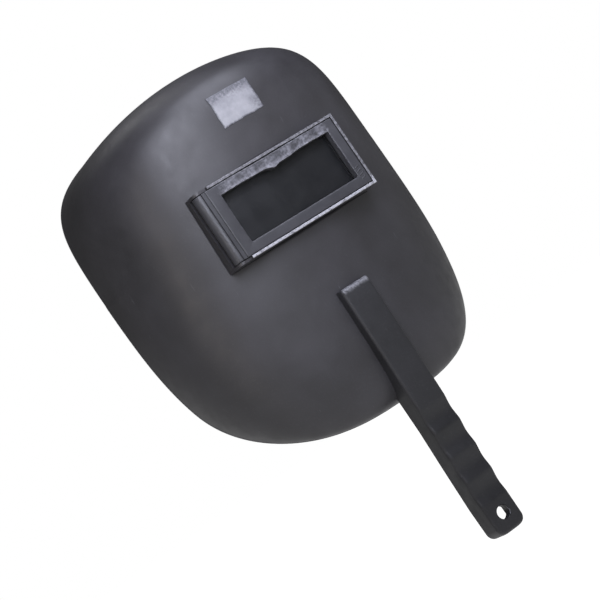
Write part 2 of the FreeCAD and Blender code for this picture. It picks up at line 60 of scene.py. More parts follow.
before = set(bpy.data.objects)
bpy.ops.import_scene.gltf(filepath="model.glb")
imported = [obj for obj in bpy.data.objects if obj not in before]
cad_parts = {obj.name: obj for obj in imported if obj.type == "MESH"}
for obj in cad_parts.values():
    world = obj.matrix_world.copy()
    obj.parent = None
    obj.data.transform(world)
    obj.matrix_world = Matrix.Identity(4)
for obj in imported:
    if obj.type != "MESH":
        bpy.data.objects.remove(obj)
CAD_BOX = [list(corner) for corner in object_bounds()]

MM = 0.001
HOUSING_LOW, HOUSING_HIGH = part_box("window_housing")
PLATE_LOW, PLATE_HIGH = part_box("cover_plate")
WINDOW = np.array([0.0, HOUSING_LOW.y, (PLATE_LOW.z + PLATE_HIGH.z) / 2])


def in_window(x=0.0, y=0.0, z=0.0):
    """A place in the part's frame, in metres, as millimetres from the window's middle."""
    return (np.array([x, y, z]) - WINDOW) / MM


# The shell's skin, the same formula as the frame's, in millimetres.
HALF_WIDTH = 127.8
CROWN_TOP = 126.4
CROWN_SAG = 35.9
CHIN_BOTTOM = -178.7
CHIN_POWER = 2.91
CORNER_POWER = 8.5
FACE_POWER = 4.28
SIDE_FLARE = 0.00039
POLE_Z = 6.0
RIM_DEPTH = 123.0
RIM_TILT = 0.173
CHIN_SWEEP_START = -101.4
CHIN_SWEEP = 0.0092
FACE_SET_BACK = 8.0
FACE_BOW = 0.0028
FACE_LEAN = -0.08
FACE_ARCH = -0.0002
BEND_REACH = 8.0
BEND_DEPTH = 2.8
HALVINGS = 40


# ---- surfaces -------------------------------------------------------------------------------------
def superellipse(c, s, half_width, half_height, power):
    """Distance to |x/a|^p + |z/b|^p = 1 in the direction (c, s)."""
    return (np.abs(c / half_width) ** power + np.abs(s / half_height) ** power) ** (-1 / power)


def rim_radius(c, s):
    """Rim outline: a superellipse below the pole, and above it a shallow arc cut off by straight sides."""
    arc_radius = (HALF_WIDTH ** 2 + CROWN_SAG ** 2) / (2 * CROWN_SAG)
    arc_centre = CROWN_TOP - POLE_Z - arc_radius
    to_arc = s * arc_centre + np.sqrt((s * arc_centre) ** 2 - arc_centre ** 2 + arc_radius ** 2)
    to_side = HALF_WIDTH / np.maximum(np.abs(c), 1e-6)
    top = (np.abs(to_arc) ** -CORNER_POWER + to_side ** -CORNER_POWER) ** (-1 / CORNER_POWER)
    chin = superellipse(c, s, HALF_WIDTH, POLE_Z - CHIN_BOTTOM, CHIN_POWER)
    return np.where(s > 0, top, chin)


def skin(angle, reach):
    """Outer skin of the shell.

    angle turns round the window and reach runs from 0 at its middle to 1 on the rim. The radius is the
    reach times an outline that changes from a soft one to the rim's. The depth starts on a gently bowed
    face and goes to the rim's depth as 1 - (1 - reach^n)^(1/m).
    """
    c = np.cos(angle)
    s = np.sin(angle)
    rim = rim_radius(c, s)
    height = np.where(s > 0, CROWN_TOP - POLE_Z, POLE_Z - CHIN_BOTTOM)
    soft = superellipse(c, s, HALF_WIDTH, height, FACE_POWER)
    radius = reach * (soft + (rim - soft) * reach ** 4)
    z = POLE_Z + radius * s
    x = radius * c * (1 - SIDE_FLARE * radius * s)
    rim_z = POLE_Z + rim * s
    sweep = CHIN_SWEEP * np.maximum(0, CHIN_SWEEP_START - rim_z) ** 2
    rim_y = RIM_DEPTH + RIM_TILT * rim_z - sweep
    depth = 1 - (1 - np.clip(reach, 0, 1) ** BEND_REACH) ** (1 / BEND_DEPTH)
    face_y = FACE_SET_BACK + FACE_BOW * x ** 2 + FACE_LEAN * z + FACE_ARCH * z ** 2
    return np.stack([x, face_y + (rim_y - face_y) * depth, z], axis=-1)


def skin_frame(angle, reach):
    """Point, inward unit normal and unit direction towards the rim, by small differences."""
    point = skin(angle, reach)
    outer = np.minimum(reach + 0.002, 1.0)
    across = skin(angle, outer) - skin(angle, outer - 0.004)
    along = skin(angle + 0.01, reach) - skin(angle - 0.01, reach)
    normal = np.cross(along, across)
    normal /= np.linalg.norm(normal, axis=-1, keepdims=True)
    across /= np.linalg.norm(across, axis=-1, keepdims=True)
    return point, normal, across


def last_reach(angle, is_inside):
    """Reach at which each ray from the pole stops being inside, by halving an interval."""
    low = np.zeros_like(angle)
    high = np.ones_like(angle)
    for _ in range(HALVINGS):
        middle = (low + high) / 2
        inside = is_inside(skin(angle, middle))
        low = np.where(inside, middle, low)
        high = np.where(inside, high, middle)
    return (low + high) / 2


def reach_at(x, z):
    """Angle and reach of the skin over the place (x, z)."""
    rise = z - POLE_Z
    angle = np.arctan2(rise, x / (1 - SIDE_FLARE * rise))
    wanted = np.hypot(x, rise)
    return angle, last_reach(angle, lambda point: np.hypot(point[..., 0], point[..., 2] - POLE_Z) < wanted)


def reach_at_depth(depth):
    """Reach of the ring that lies this fraction of the way down the side wall."""
    return (1 - (1 - depth) ** BEND_DEPTH) ** (1 / BEND_REACH)


def grid_faces(rows, columns, close_rows=False, close_columns=False):
    """Quads of a grid whose vertices are numbered row by row."""
    i = np.arange(rows if close_rows else rows - 1)
    j = np.arange(columns if close_columns else columns - 1)
    a, b = np.meshgrid(i, j, indexing="ij")
    next_a = (a + 1) % rows
    next_b = (b + 1) % columns
    row, next_row = a * columns, next_a * columns
    return np.stack([row + b, next_row + b, next_row + next_b, row + next_b], axis=-1).reshape(-1, 4)


def cap_faces(first, count, centre, flip=False):
    """Triangles from a ring of vertices to one middle vertex."""
    i = np.arange(count)
    ring = first + i
    following = first + (i + 1) % count
    middle = np.full(count, centre)
    order = [following, ring, middle] if flip else [ring, following, middle]
    return np.stack(order, axis=-1)


def capped_tube(rings, first_middle, last_middle):
    """Tube of closed rings, each end closed by triangles to a middle vertex."""
    rows, columns = rings.shape[:2]
    count = rows * columns
    faces = [grid_faces(rows, columns, close_columns=True), cap_faces(0, columns, count),
             cap_faces(count - columns, columns, count + 1, flip=True)]
    return np.concatenate([rings.reshape(-1, 3), [first_middle, last_middle]]), faces


def make_piece(name, parts, wear=None, smooth=True):
    """Object from a list of (points, faces) with faces numbered inside each part."""
    points = np.concatenate([p.reshape(-1, 3) for p, _ in parts])
    faces = []
    start = 0
    for part_points, part_faces in parts:
        for block in part_faces:
            faces += (block + start).tolist()
        start += part_points.reshape(-1, 3).shape[0]
    mesh = bpy.data.meshes.new(name)
    mesh.from_pydata((points * MM + WINDOW).tolist(), [], faces)
    mesh.polygons.foreach_set("use_smooth", np.full(len(mesh.polygons), smooth))
    if wear is not None:
        layer = mesh.attributes.new("wear", "FLOAT", "POINT")
        layer.data.foreach_set("value", np.clip(wear, 0, 1).astype(np.float32).ravel())
    mesh.update()
    piece = bpy.data.objects.new(name, mesh)
    bpy.context.scene.collection.objects.link(piece)
    return piece


def vertex_count(parts):
    """Number of vertices in a list of (points, faces)."""
    return sum(points.size // 3 for points, _ in parts)


def outwards(piece):
    """Turns every closed stretch of a piece's faces outwards."""
    work = bmesh.new()
    work.from_mesh(piece.data)
    bmesh.ops.remove_doubles(work, verts=work.verts, dist=1e-7)
    bmesh.ops.recalc_face_normals(work, faces=work.faces)
    work.to_mesh(piece.data)
    work.free()


def cut(piece, cutter):
    """Takes the cutter's volume out of a piece and deletes the cutter."""
    outwards(cutter)
    modifier = piece.modifiers.new("cut", "BOOLEAN")
    modifier.object = cutter
    modifier.solver = "EXACT"
    bpy.context.view_layer.update()
    shaped = piece.evaluated_get(bpy.context.evaluated_depsgraph_get())
    mesh = bpy.data.meshes.new_from_object(shaped)
    piece.modifiers.clear()
    piece.data = mesh
    bpy.data.objects.remove(cutter)


def sharpen(piece):
    """Smooth shading everywhere but over edges sharper than the angle."""
    piece.data.polygons.foreach_set("use_smooth", np.full(len(piece.data.polygons), True))
    piece.data.set_sharp_from_angle(angle=math.radians(SHARP_ANGLE))


def rounded_loop(x0, x1, z0, z1, radius, per_side=24, per_corner=6):
    """Rounded rectangle as one closed loop of (x, z), with the same count for every size."""
    corners = [(x1 - radius, z1 - radius, 0.0), (x0 + radius, z1 - radius, 0.5),
               (x0 + radius, z0 + radius, 1.0), (x1 - radius, z0 + radius, 1.5)]
    loop = []
    for x, z, turn in corners:
        angle = np.pi * (turn + np.linspace(0, 0.5, per_corner))
        loop.append(np.stack([x + radius * np.cos(angle), z + radius * np.sin(angle)], axis=-1))
    full = []
    step = np.linspace(0, 1, per_side + 1)[1:-1, None]
    for i, corner in enumerate(loop):
        following = loop[(i + 1) % 4][0]
        full += [corner, corner[-1] + (following - corner[-1]) * step]
    return np.concatenate(full)


def arc(centre, radius, start, end, count=6):
    """Points of a circular arc in (a, b), with angles in quarter turns."""
    angle = np.linspace(start, end, count) * np.pi / 2
    return np.stack([centre[0] + radius[0] * np.cos(angle), centre[1] + radius[1] * np.sin(angle)], axis=-1)


def bell(value, middle, width):
    """Smooth hump of height 1."""
    return np.exp(-((value - middle) / width) ** 2)


# ---- materials ------------------------------------------------------------------------------------
def to_linear(code):
    """Linear colour of an sRGB hex value."""
    values = [int(code[i:i + 2], 16) / 255 for i in (1, 3, 5)]
    linear = [v / 12.92 if v <= 0.04045 else ((v + 0.055) / 1.055) ** 2.4 for v in values]
    return (*linear, 1.0)


def add(tree, kind, values=None, links=None, **settings):
    """Adds a node, sets its settings and input values, and links its inputs."""
    node = tree.nodes.new(kind)
    for name, value in settings.items():
        setattr(node, name, value)
    for socket, value in (values or {}).items():
        node.inputs[socket].default_value = value
    for socket, source in (links or {}).items():
        tree.links.new(source, node.inputs[socket])
    return node


def start_material(name, values):
    """New material with a Principled shader, and its Object coordinates."""
    material = bpy.data.materials.new(name)
    material.use_nodes = True
    tree = material.node_tree
    tree.nodes.clear()
    shader = add(tree, "ShaderNodeBsdfPrincipled", values)
    add(tree, "ShaderNodeOutputMaterial", links={"Surface": shader.outputs[0]})
    place = add(tree, "ShaderNodeTexCoord").outputs["Object"]
    return material, tree, shader, place


def remap(tree, source, low, high, out_low, out_high):
    """Clamped linear change of range."""
    values = {"From Min": low, "From Max": high, "To Min": out_low, "To Max": out_high}
    return add(tree, "ShaderNodeMapRange", values, {"Value": source}).outputs["Result"]


def blend_colour(tree, factor, first, second):
    """Mix of two colours, each a hex code or a socket."""
    node = add(tree, "ShaderNodeMix", data_type="RGBA")
    tree.links.new(factor, node.inputs["Factor"])
    for socket, colour in ((6, first), (7, second)):
        if isinstance(colour, str):
            node.inputs[socket].default_value = to_linear(colour)
        else:
            tree.links.new(colour, node.inputs[socket])
    return node.outputs[2]


def noise(tree, place, size_mm, detail=3.0, roughness=0.5, stretch=None, distortion=0.0):
    """Noise whose blotches are about size_mm across; stretch lengthens them along an axis."""
    vector = place
    if stretch:
        vector = add(tree, "ShaderNodeMapping", {"Scale": stretch}, {"Vector": place}).outputs[0]
    values = {"Scale": 1 / (size_mm * MM), "Detail": detail, "Roughness": roughness,
              "Distortion": distortion}
    return add(tree, "ShaderNodeTexNoise", values, {"Vector": vector}).outputs["Fac"]


def front_wear_and_lip_highlight(tree, place):
    """Wear on the edges nearest the front plane, and a painted highlight that makes it strongest along the
    upward-facing lower lip, in ragged patches.
    """
    axes = add(tree, "ShaderNodeSeparateXYZ", links={0: place}).outputs
    front, middle = WINDOW[1], WINDOW[2]
    near = remap(tree, axes["Y"], front + 0.3 * MM, front + 1.2 * MM, 1, 0)
    # painted highlight: the lower lip faces up to the light, so the pale mask rises to full there
    low = remap(tree, axes["Z"], middle - 29 * MM, middle - 22 * MM, 1, 0.4)
    return add(tree, "ShaderNodeMath", links={0: near, 1: low}, operation="MULTIPLY").outputs[0]


def moulded_plastic(name, dark, light, scuff, roughness, grain_mm, worn=None):
    """Injection-moulded polypropylene: spark-eroded grain, cloudy tone, faint scuffs, polished wear, and on
    some pieces a painted highlight in the wear colour.

    worn is "front" for front-edge wear with a painted highlight along the lower lip, the name of an
    attribute for wear by vertex (on the handle's top end partly a painted highlight), or None.
    """
    # A real grain of 0.2 mm is too fine to show, so it is drawn at grain_mm.
    material, tree, shader, place = start_material(name, {"IOR": 1.49})
    cloud = noise(tree, place, 55, detail=2)
    colour = blend_colour(tree, remap(tree, cloud, 0.35, 0.65, 0, 1), dark, light)
    fleck = noise(tree, place, 1.6, detail=4, roughness=0.7)
    colour = blend_colour(tree, remap(tree, fleck, 0.55, 0.8, 0, 0.1), colour, scuff)
    scratch = noise(tree, place, 2.2, detail=5, roughness=0.62, stretch=(1, 1, 0.12), distortion=0.3)
    patch = noise(tree, place, 26, detail=2)
    scratch_mask = add(tree, "ShaderNodeMath", links={0: remap(tree, scratch, 0.66, 0.74, 0, 1),
                                                      1: remap(tree, patch, 0.55, 0.7, 0, 0.5)},
                       operation="MULTIPLY").outputs[0]
    colour = blend_colour(tree, scratch_mask, colour, scuff)
    rough = remap(tree, noise(tree, place, 9, detail=3), 0.3, 0.7, roughness - 0.05, roughness + 0.07)
    # The pale mix below is wear, and also painted highlight on the housing's lower lip and the handle's top
    # end.
    if worn:
        if worn == "front":
            wear = front_wear_and_lip_highlight(tree, place)
        else:
            wear = add(tree, "ShaderNodeAttribute", attribute_name=worn).outputs["Fac"]
        ragged = noise(tree, place, 2.4, detail=4, roughness=0.65)
        shaped = add(tree, "ShaderNodeMath", links={0: wear, 1: remap(tree, ragged, 0.35, 0.62, 0.35, 1.2)},
                     operation="MULTIPLY").outputs[0]
        colour = blend_colour(tree, remap(tree, shaped, 0.12, 0.9, 0, 1), colour, scuff)
    tree.links.new(colour, shader.inputs["Base Color"])
    tree.links.new(rough, shader.inputs["Roughness"])
    grain = noise(tree, place, grain_mm, detail=2, roughness=0.6)
    fine = add(tree, "ShaderNodeBump", {"Strength": 0.22, "Distance": 0.00012}, {"Height": grain})
    sag = noise(tree, place, 34, detail=1)
    soft = add(tree, "ShaderNodeBump", {"Strength": 0.25, "Distance": 0.0012},
               {"Height": sag, "Normal": fine.outputs[0]})
    tree.links.new(soft.outputs[0], shader.inputs["Normal"])
    return material


def metal(name, light, dark, roughness, streak_mm):
    """Plated or drawn metal: fine streaks in tone and gloss, a little dulling in patches."""
    material, tree, shader, place = start_material(name, {"Metallic": 1.0})
    streak = noise(tree, place, streak_mm, detail=4, stretch=(1, 1, 0.15))
    colour = blend_colour(tree, remap(tree, streak, 0.3, 0.7, 0, 1), dark, light)
    tree.links.new(colour, shader.inputs["Base Color"])
    dull = noise(tree, place, 4, detail=3)
    tree.links.new(remap(tree, dull, 0.3, 0.7, roughness, roughness + 0.15), shader.inputs["Roughness"])
    bump = add(tree, "ShaderNodeBump", {"Strength": 0.15, "Distance": 0.00005}, {"Height": streak})
    tree.links.new(bump.outputs[0], shader.inputs["Normal"])
    return material


def clear_plate(name):
    """Polished clear polycarbonate, nearly unseen: a faint haze that is stronger along wiping marks."""
    material, tree, shader, place = start_material(name, {"Base Color": to_linear("#1A1C20"), "IOR": 1.58,
                                                          "Roughness": 0.12})
    wipe = noise(tree, place, 9, detail=3, stretch=(0.2, 1, 1))
    tree.links.new(remap(tree, wipe, 0.35, 0.75, 0.03, 0.07), shader.inputs["Alpha"])
    return material


def filter_glass(name, dark, light):
    """Shade 11 welding glass: nearly opaque and dark, fire-polished, with a soft film of smoke."""
    material, tree, shader, place = start_material(name, {"IOR": 1.52})
    cloud = noise(tree, place, 40, detail=2)
    tree.links.new(blend_colour(tree, remap(tree, cloud, 0.35, 0.65, 0, 1), dark, light),
                   shader.inputs["Base Color"])
    film = noise(tree, place, 14, detail=3)
    tree.links.new(remap(tree, film, 0.3, 0.7, 0.36, 0.44), shader.inputs["Roughness"])
    return material


def rubber(name, dark, light):
    """Cut sheet of soft black rubber: matt with a fine cloth-like tooth."""
    material, tree, shader, place = start_material(name, {"IOR": 1.52})
    tooth = noise(tree, place, 0.8, detail=3)
    tree.links.new(blend_colour(tree, tooth, dark, light), shader.inputs["Base Color"])
    tree.links.new(remap(tree, tooth, 0.3, 0.7, 0.75, 0.9), shader.inputs["Roughness"])
    bump = add(tree, "ShaderNodeBump", {"Strength": 0.4, "Distance": 0.0001}, {"Height": tooth})
    tree.links.new(bump.outputs[0], shader.inputs["Normal"])
    return material


def worn_label(name, paper, faded, grime):
    """Blank vinyl sticker, greyed by smoke: lighter in the middle, with worn, dirty edges."""
    material, tree, shader, place = start_material(name, {"IOR": 1.46})
    cloud = noise(tree, place, 12, detail=4, roughness=0.6)
    colour = blend_colour(tree, remap(tree, cloud, 0.35, 0.65, 0, 1), faded, paper)
    wear = add(tree, "ShaderNodeAttribute", attribute_name="wear").outputs["Fac"]
    ragged = noise(tree, place, 2.0, detail=5, roughness=0.7)
    edge = add(tree, "ShaderNodeMath", links={0: wear, 1: remap(tree, ragged, 0.35, 0.65, 0.5, 1.5)},
               operation="MULTIPLY").outputs[0]
    colour = blend_colour(tree, remap(tree, edge, 0.2, 1.0, 0, 0.9), colour, grime)
    tree.links.new(colour, shader.inputs["Base Color"])
    tree.links.new(remap(tree, ragged, 0.3, 0.7, 0.42, 0.6), shader.inputs["Roughness"])
    crease = noise(tree, place, 5, detail=3)
    bump = add(tree, "ShaderNodeBump", {"Strength": 0.3, "Distance": 0.0003}, {"Height": crease})
    tree.links.new(bump.outputs[0], shader.inputs["Normal"])
    return material


def paint(piece, material):
    """Gives a piece, or a node of the frame, one material."""
    piece.data.materials.clear()
    piece.data.materials.append(material)


# ---- pieces' surfaces -----------------------------------------------------------------------------
BOX_LEFT = -71.0
BOX_RIGHT = 62.4
BOX_HALF = 31.5
OPENING_GAP = 0.1
FACE_END_DEPTH = 0.06
RIM_END_DEPTH = 0.988
FACE_ROWS = 46
SIDE_ROWS = 52
LIP_ROWS = 9
MERGE_DISTANCE = 1e-6
SHARP_ANGLE = 35.0
SPLIT_ANGLE = 32.0

BEZEL_LEFT = -62.4
BEZEL_RIGHT = 59.8
BEZEL_HALF = 28.9
BEZEL_FRONT = 0.6
BEZEL_BACK = 4.0
SKIRT_END = 7.0
SKIRT_HALF_WIDTH = 53.0
SKIRT_HALF_HEIGHT = 24.8
VIEW_HALF_WIDTH = 51.75
VIEW_HALF_HEIGHT = 20.65
BARREL_X = -65.4
BARREL_Y = 8.6
BARREL_RADIUS = 5.5
GRIP_RIBS = 4
GRIP_RIB_PITCH = 3.2

HANDLE_HALF = 13.25
HANDLE_TOP = -85.5
HANDLE_TIP = -303.5
HOLE_Z = -288.5
HANDLE_TOP_Y = 4.9
HANDLE_BEND_Z = -150.0
HANDLE_BEND_Y = 6.7
TAB_START = -279.0
FINGER_TOP = -191.5
FINGER_PITCH = 21.6
FINGER_GROOVES = 4
FINGER_DEPTH = 1.8
GUSSET_BACK = 28.0
GRIP_DROPS = (205, 240, 275, 303.5)      # below the window, where the back's depth is given
GRIP_BACKS = (30.4, 32.2, 31.3)          # depths after the gusset's
HOLE_RADIUS = 5.3
HANDLE_WEB = 3.2
HANDLE_SIDE = 2.8
TAB_Y = 12.9
TAB_BACK = 20.4
TIP_ROUND = 7.0
TOP_ROUND = 3.4
RIB_HEIGHTS = (-194.0, -216.0, -238.0, -260.0, -278.0)

LABEL_SPAN = (-18.0, 20.0)
LABEL_RISE = (61.5, 88.0)
LABEL_THICKNESS = 0.25
LABEL_LIFT = 0.05


def opening_reach(angle, left, right, half):
    """Reach at which each ray from the pole leaves the window opening."""
    def in_opening(point):
        return (point[:, 0] > left) & (point[:, 0] < right) & (np.abs(point[:, 2]) < half)

    return last_reach(angle, in_opening)


def ripple(value, length, seed):
    """Uneven wave of height about 1: five sines with lengths that shrink from the one given."""
    total = 0
    for k in range(1, 6):
        total = total + np.sin(2 * np.pi * value * k ** 1.3 / length + seed * k * 1.7) / k
    return total / 2


def bezel_ring(nick):
    """Bezel: loops round the view, from the outer front edge over the face, through the view and the skirt.

    Each loop is a rounded rectangle at one depth. The top bar's face is roughened with ripples, its
    inner edge has a dent in the middle, and the left bar's inner edge bows a little.
    """
    stations = []
    for x, y in arc((0.8, BEZEL_FRONT + 0.8), (0.8, 0.8), 2, 3, 5):
        stations.append((0.0, x, y, 0.35))
    for t in np.linspace(0.14, 0.94, 9):
        stations.append((t, 0, BEZEL_FRONT + 0.35 * t ** 2, 0.1 + 0.3 * bell(t, 0.9, 0.15)))
    view_edge = ((0.975, 1.05, 0.75), (1.0, 1.6, 0.3), (1.0, 2.6, 0), (1.0, 5.0, 0), (1.0, SKIRT_END, 0))
    stations += [(t, 0, y, worn) for t, y, worn in view_edge]
    loops = []
    wear = []
    for t, inset, y, worn in stations:
        rect = [BEZEL_LEFT + inset + (-VIEW_HALF_WIDTH - BEZEL_LEFT - inset) * t,
                BEZEL_RIGHT - inset + (VIEW_HALF_WIDTH - BEZEL_RIGHT + inset) * t,
                -BEZEL_HALF + inset + (-VIEW_HALF_HEIGHT + BEZEL_HALF - inset) * t,
                BEZEL_HALF - inset + (VIEW_HALF_HEIGHT - BEZEL_HALF + inset) * t]
        loop = rounded_loop(*rect, radius=0.6, per_side=72)
        x, z = loop.T.copy()
        top = np.clip((z - rect[3]) / 1.5 + 1, 0, 1) * np.clip((VIEW_HALF_WIDTH + 4 - np.abs(x)) / 6, 0, 1)
        dent = bell(x, -2.5, 4.5) + 0.5 * bell(x, 8, 9)
        z = z - top * (nick * dent * t ** 2 + 0.35 * (1 - t) * (bell(x, -3, 20) + 0.3 * ripple(x, 60, 2)))
        z = z + top * t ** 2 * 0.28 * ripple(x, 34, 1)
        face = (y < 1.2) * top * np.clip(t * (1 - t) * 6 + t ** 3, 0, 1)
        depth = y + face * (0.22 * ripple(x, 26, 3 + 4 * t) + 0.12 * ripple(x, 7, 5 * t) - 0.3 * dent * t)
        left = np.clip((rect[0] - x) / 1.5 + 1, 0, 1)
        x = x - left * 0.8 * t ** 2 * np.cos(np.pi * z / (2.2 * BEZEL_HALF))
        loops.append(np.stack([x, np.maximum(depth, 0.2), z], axis=-1))
        wear.append(worn * (0.35 + 0.65 * top) + 0.35 * face * (0.6 + 0.5 * ripple(x, 18, 2)))
    for half_x, half_z, y in ((SKIRT_HALF_WIDTH, SKIRT_HALF_HEIGHT, SKIRT_END),
                              (SKIRT_HALF_WIDTH, SKIRT_HALF_HEIGHT, BEZEL_BACK)):
        loop = rounded_loop(-half_x, half_x, -half_z, half_z, 0.6, per_side=72)
        loops.append(np.stack([loop[:, 0], np.full(len(loop), y), loop[:, 1]], axis=-1))
        wear.append(np.zeros(len(loop)))
    loop = rounded_loop(BEZEL_LEFT, BEZEL_RIGHT, -BEZEL_HALF, BEZEL_HALF, 0.6, per_side=72)
    loops.append(np.stack([loop[:, 0], np.full(len(loop), BEZEL_BACK), loop[:, 1]], axis=-1))
    wear.append(np.zeros(len(loop)))
    points = np.array(loops)
    faces = grid_faces(len(points), points.shape[1], close_rows=True, close_columns=True)
    return points, faces, np.array(wear)


def barrel_surface():
    """Hinge barrel: a circle carried up the hinge line, with its ends rounded over."""
    edge = 0.9
    rise = [-BEZEL_HALF, *(-BEZEL_HALF + edge * (1 - np.cos(np.linspace(0.2, 1, 5) * np.pi / 2))),
            *np.linspace(-20, 20, 9),
            *(BEZEL_HALF - edge * (1 - np.cos(np.linspace(1, 0.2, 5) * np.pi / 2))), BEZEL_HALF]
    rise = np.array(rise)
    gap = np.clip((edge - (BEZEL_HALF - np.abs(rise))) / edge, 0, 1)
    radius = BARREL_RADIUS - edge + edge * np.sqrt(1 - gap ** 2)
    turn = np.linspace(0, 2 * np.pi, 72, endpoint=False)
    x = BARREL_X + radius[:, None] * np.cos(turn)
    y = BARREL_Y + radius[:, None] * np.sin(turn)
    rings = np.stack([x, y, np.broadcast_to(rise[:, None], x.shape)], axis=-1)
    return capped_tube(rings, (BARREL_X, BARREL_Y, -BEZEL_HALF), (BARREL_X, BARREL_Y, BEZEL_HALF))


def box_grid(low, high):
    """Closed box between two corners."""
    x0, y0, z0 = low
    x1, y1, z1 = high
    loop = [(x0, z0), (x1, z0), (x1, z1), (x0, z1)]
    points = np.array([[x, y, z] for y in (y0, y1) for x, z in loop])
    return points, [grid_faces(2, 4, close_columns=True), np.array([[0, 1, 2, 3], [7, 6, 5, 4]])]


def thumb_rib(index):
    """Small half-round rib at the lower right of the bezel, slanted like a finger grip."""
    z = -BEZEL_HALF + 6.5 + index * GRIP_RIB_PITCH
    along = np.linspace(0, 1, 9)
    turn = np.linspace(0, 2 * np.pi, 12, endpoint=False)
    size = 0.62 * np.sqrt(np.clip(1 - (2 * along - 1) ** 6, 0.02, 1))
    x = BEZEL_RIGHT - 1.6 - 5.2 * along
    rings = np.stack([x[:, None] + 0 * turn, BEZEL_FRONT + 0.15 + size[:, None] * np.cos(turn) * 0.8,
                      z - 1.4 * along[:, None] + size[:, None] * np.sin(turn)], axis=-1)
    return capped_tube(rings, rings[0].mean(axis=0), rings[-1].mean(axis=0))


def handle_front(z):
    """Depth of the handle's front: two straight runs, four finger grooves and rounded ends."""
    upper = np.interp(-z, [-HANDLE_TOP, -HANDLE_BEND_Z, -TAB_START], [HANDLE_TOP_Y, HANDLE_BEND_Y, TAB_Y])
    phase = (FINGER_TOP - z) / FINGER_PITCH
    groove = FINGER_DEPTH * np.abs(np.sin(np.pi * phase)) ** 1.5
    return upper + np.where((phase > 0) & (phase < FINGER_GROOVES), groove, 0)


def handle_back(z):
    """Depth of the handle's back: just inside the shell's wall, then a gusset and the grip."""
    _, reach = reach_at(np.zeros_like(z), np.maximum(z, CHIN_BOTTOM + 2))
    skin_y = skin(np.full_like(z, -np.pi / 2), reach)[:, 1]
    upper = np.minimum(skin_y + 1.0, GUSSET_BACK)
    lower = np.interp(-z, GRIP_DROPS, [GUSSET_BACK, *GRIP_BACKS])
    return np.where(z > CHIN_BOTTOM, upper, lower)


def handle_surface(edge):
    """Handle: a channel section carried from top to tip.

    The section is a flat front with rounded edges, two sides and a channel open to the back. The half
    width follows a circle at the tip, and the front falls back in a quarter round at both ends.
    """
    z = np.concatenate([HANDLE_TOP - TOP_ROUND * (1 - np.cos(np.linspace(0, 1, 8) * np.pi / 2)),
                        np.linspace(HANDLE_TOP - TOP_ROUND - 1, HANDLE_TIP + TIP_ROUND + 0.5, 190),
                        HANDLE_TIP + TIP_ROUND * (1 - np.sin(np.linspace(0, 1, 16) * np.pi / 2))])
    joints = [HANDLE_TOP - HANDLE_WEB, HANDLE_TOP - HANDLE_WEB - 0.05,
              HANDLE_TIP + HANDLE_WEB + 0.05, HANDLE_TIP + HANDLE_WEB]
    z = np.unique(np.concatenate([z, joints]))[::-1]
    rise = np.clip((z - (HANDLE_TOP - TOP_ROUND)) / TOP_ROUND, 0, 1)
    fall = np.clip((HANDLE_TIP + edge - z) / edge, 0, 1)
    front = handle_front(z) + TOP_ROUND * (1 - np.sqrt(1 - rise ** 2)) + edge * (1 - np.sqrt(1 - fall ** 2))
    back = handle_back(z)
    tip = np.clip(1 - (z - HANDLE_TIP) / TIP_ROUND, 0, 1)
    half = HANDLE_HALF - TIP_ROUND + TIP_ROUND * np.sqrt(1 - tip ** 2)
    hollow = (z < HANDLE_TOP - HANDLE_WEB - 0.01) & (z > HANDLE_TIP + HANDLE_WEB + 0.01)
    web = np.where(hollow, front + HANDLE_WEB, back - 0.05)
    inner = half - HANDLE_SIDE
    turn = np.linspace(0, 1, 7)[1:-1] * np.pi / 2
    columns = []
    for t in np.linspace(0, 1, 5):
        columns.append((-half, back + (front + edge - back) * t))
    for a in turn:
        columns.append((-half + edge * (1 - np.cos(a)), front + edge * (1 - np.sin(a))))
    for t in np.linspace(0, 1, 9):
        columns.append(((-half + edge) * (1 - 2 * t), front - 0.25 * np.sin(np.pi * t)))
    for a in turn[::-1]:
        columns.append((half - edge * (1 - np.cos(a)), front + edge * (1 - np.sin(a))))
    for t in np.linspace(0, 1, 5):
        columns.append((half, front + edge + (back - front - edge) * t))
    columns += [(inner, back), (inner, (back + web) / 2), (inner, web), (-inner, web),
                (-inner, (back + web) / 2), (-inner, back)]
    x = np.stack([c[0] for c in columns], axis=1)
    y = np.stack([c[1] for c in columns], axis=1)
    points = np.stack([x, y, np.broadcast_to(z[:, None], x.shape)], axis=-1)
    tube, faces = capped_tube(points, (0, front[0] + 2, z[0]), (0, (front[-1] + back[-1]) / 2, z[-1]))
    # Pale patch on the front at the top end: a painted highlight where the rounded top faces up to the
    # light, with a little wear.
    on_front = np.clip(1 - (y - front[:, None]) / 3, 0, 1)
    wear = on_front * (bell(z, HANDLE_TOP - 1.6, 2.6)[:, None] * (x > -half[:, None] + 1.5))
    return tube, faces, np.concatenate([wear.ravel(), [0, 0]])


def hole_cutter():
    """Round cutter for the hanging hole, flared at the front face."""
    station = np.array([[TAB_Y - 2.0, HOLE_RADIUS + 0.6], [TAB_Y - 0.1, HOLE_RADIUS + 0.4],
                        [TAB_Y + 0.3, HOLE_RADIUS + 0.1], [TAB_Y + 0.7, HOLE_RADIUS], [40.0, HOLE_RADIUS]])
    turn = np.linspace(0, 2 * np.pi, 64, endpoint=False)
    x = station[:, 1:] * np.cos(turn)
    z = HOLE_Z + station[:, 1:] * np.sin(turn)
    rings = np.stack([x, np.broadcast_to(station[:, :1], x.shape), z], axis=-1)
    tube = capped_tube(rings, (0, station[0, 0], HOLE_Z), (0, station[-1, 0], HOLE_Z))
    return make_piece("hole_cutter", [tube])


